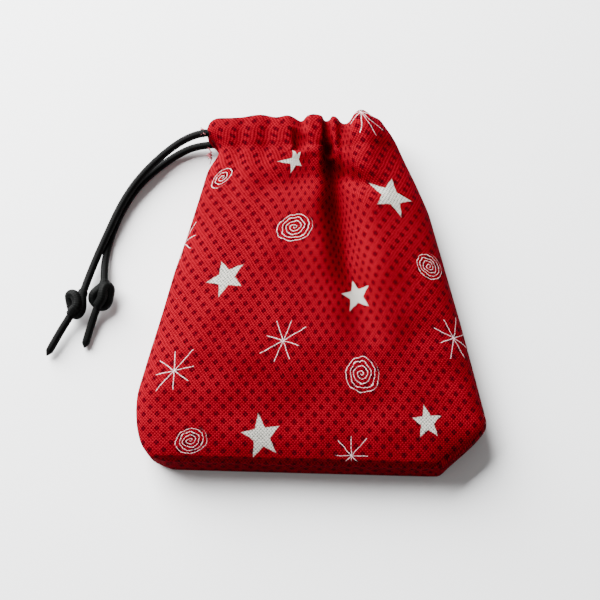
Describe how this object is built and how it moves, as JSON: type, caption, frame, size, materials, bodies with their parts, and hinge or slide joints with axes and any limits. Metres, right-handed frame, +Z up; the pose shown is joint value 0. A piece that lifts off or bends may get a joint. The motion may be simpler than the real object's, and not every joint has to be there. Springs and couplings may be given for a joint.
{
  "type": "drawstring dice bag",
  "caption": "Small lined cotton drawstring pouch lying flat, mouth drawn in by one cord with knotted ends.",
  "frame": {"origin": "on the floor under the middle of the cloth bag, which lies on its back", "axes": "+Z up, +Y from the base towards the mouth, +X to the right of the bag seen from above"},
  "size_m": [0.1174, 0.095, 0.015],
  "materials": {
    "printed_cotton": "red plain-weave quilting cotton printed with small dark dots and pale stars, spirals and starbursts",
    "lining_cotton": "plain dark red cotton lining",
    "red_thread": "matching polyester sewing thread",
    "black_cord": "black satin braided cord with a slight sheen"
  },
  "bodies": {
    "back_half": {"outer_back": "printed_cotton", "lining_back": "lining_cotton", "casing_back": "printed_cotton", "casing_turn": "printed_cotton", "outer_side_thread_left": "red_thread", "outer_side_thread_right": "red_thread", "outer_bottom_thread": "red_thread", "lining_side_thread_left": "red_thread", "lining_side_thread_right": "red_thread", "lining_bottom_thread": "red_thread", "casing_thread_back": "red_thread", "drawcord_bight": "black_cord"},
    "front_half": {"outer_front": "printed_cotton", "lining_front": "lining_cotton", "casing_front": "printed_cotton", "casing_thread_front": "red_thread"},
    "cord_front": {"drawcord_front": "black_cord", "drawcord_run_front": "black_cord", "knot_front": "black_cord"},
    "cord_back": {"drawcord_back": "black_cord", "drawcord_run_back": "black_cord", "knot_back": "black_cord"}
  },
  "joints": [
    {"name": "mouth_open", "type": "hinge", "parent": "back_half", "child": "front_half", "pos_m": [0, -0.0475, 0.00565], "axis": [1, 0, 0], "range_deg": [0, 8]},
    {"name": "cord_pull_front", "type": "slide", "parent": "front_half", "child": "cord_front", "axis": [-1, 0, 0], "range_m": [0, 0.03]},
    {"name": "cord_pull_back", "type": "slide", "parent": "back_half", "child": "cord_back", "axis": [-1, 0, 0], "range_m": [0, 0.03]}
  ],
  "couplings": [
    {"joint": "cord_pull_back", "follows": "cord_pull_front", "ratio": 1}
  ]
}
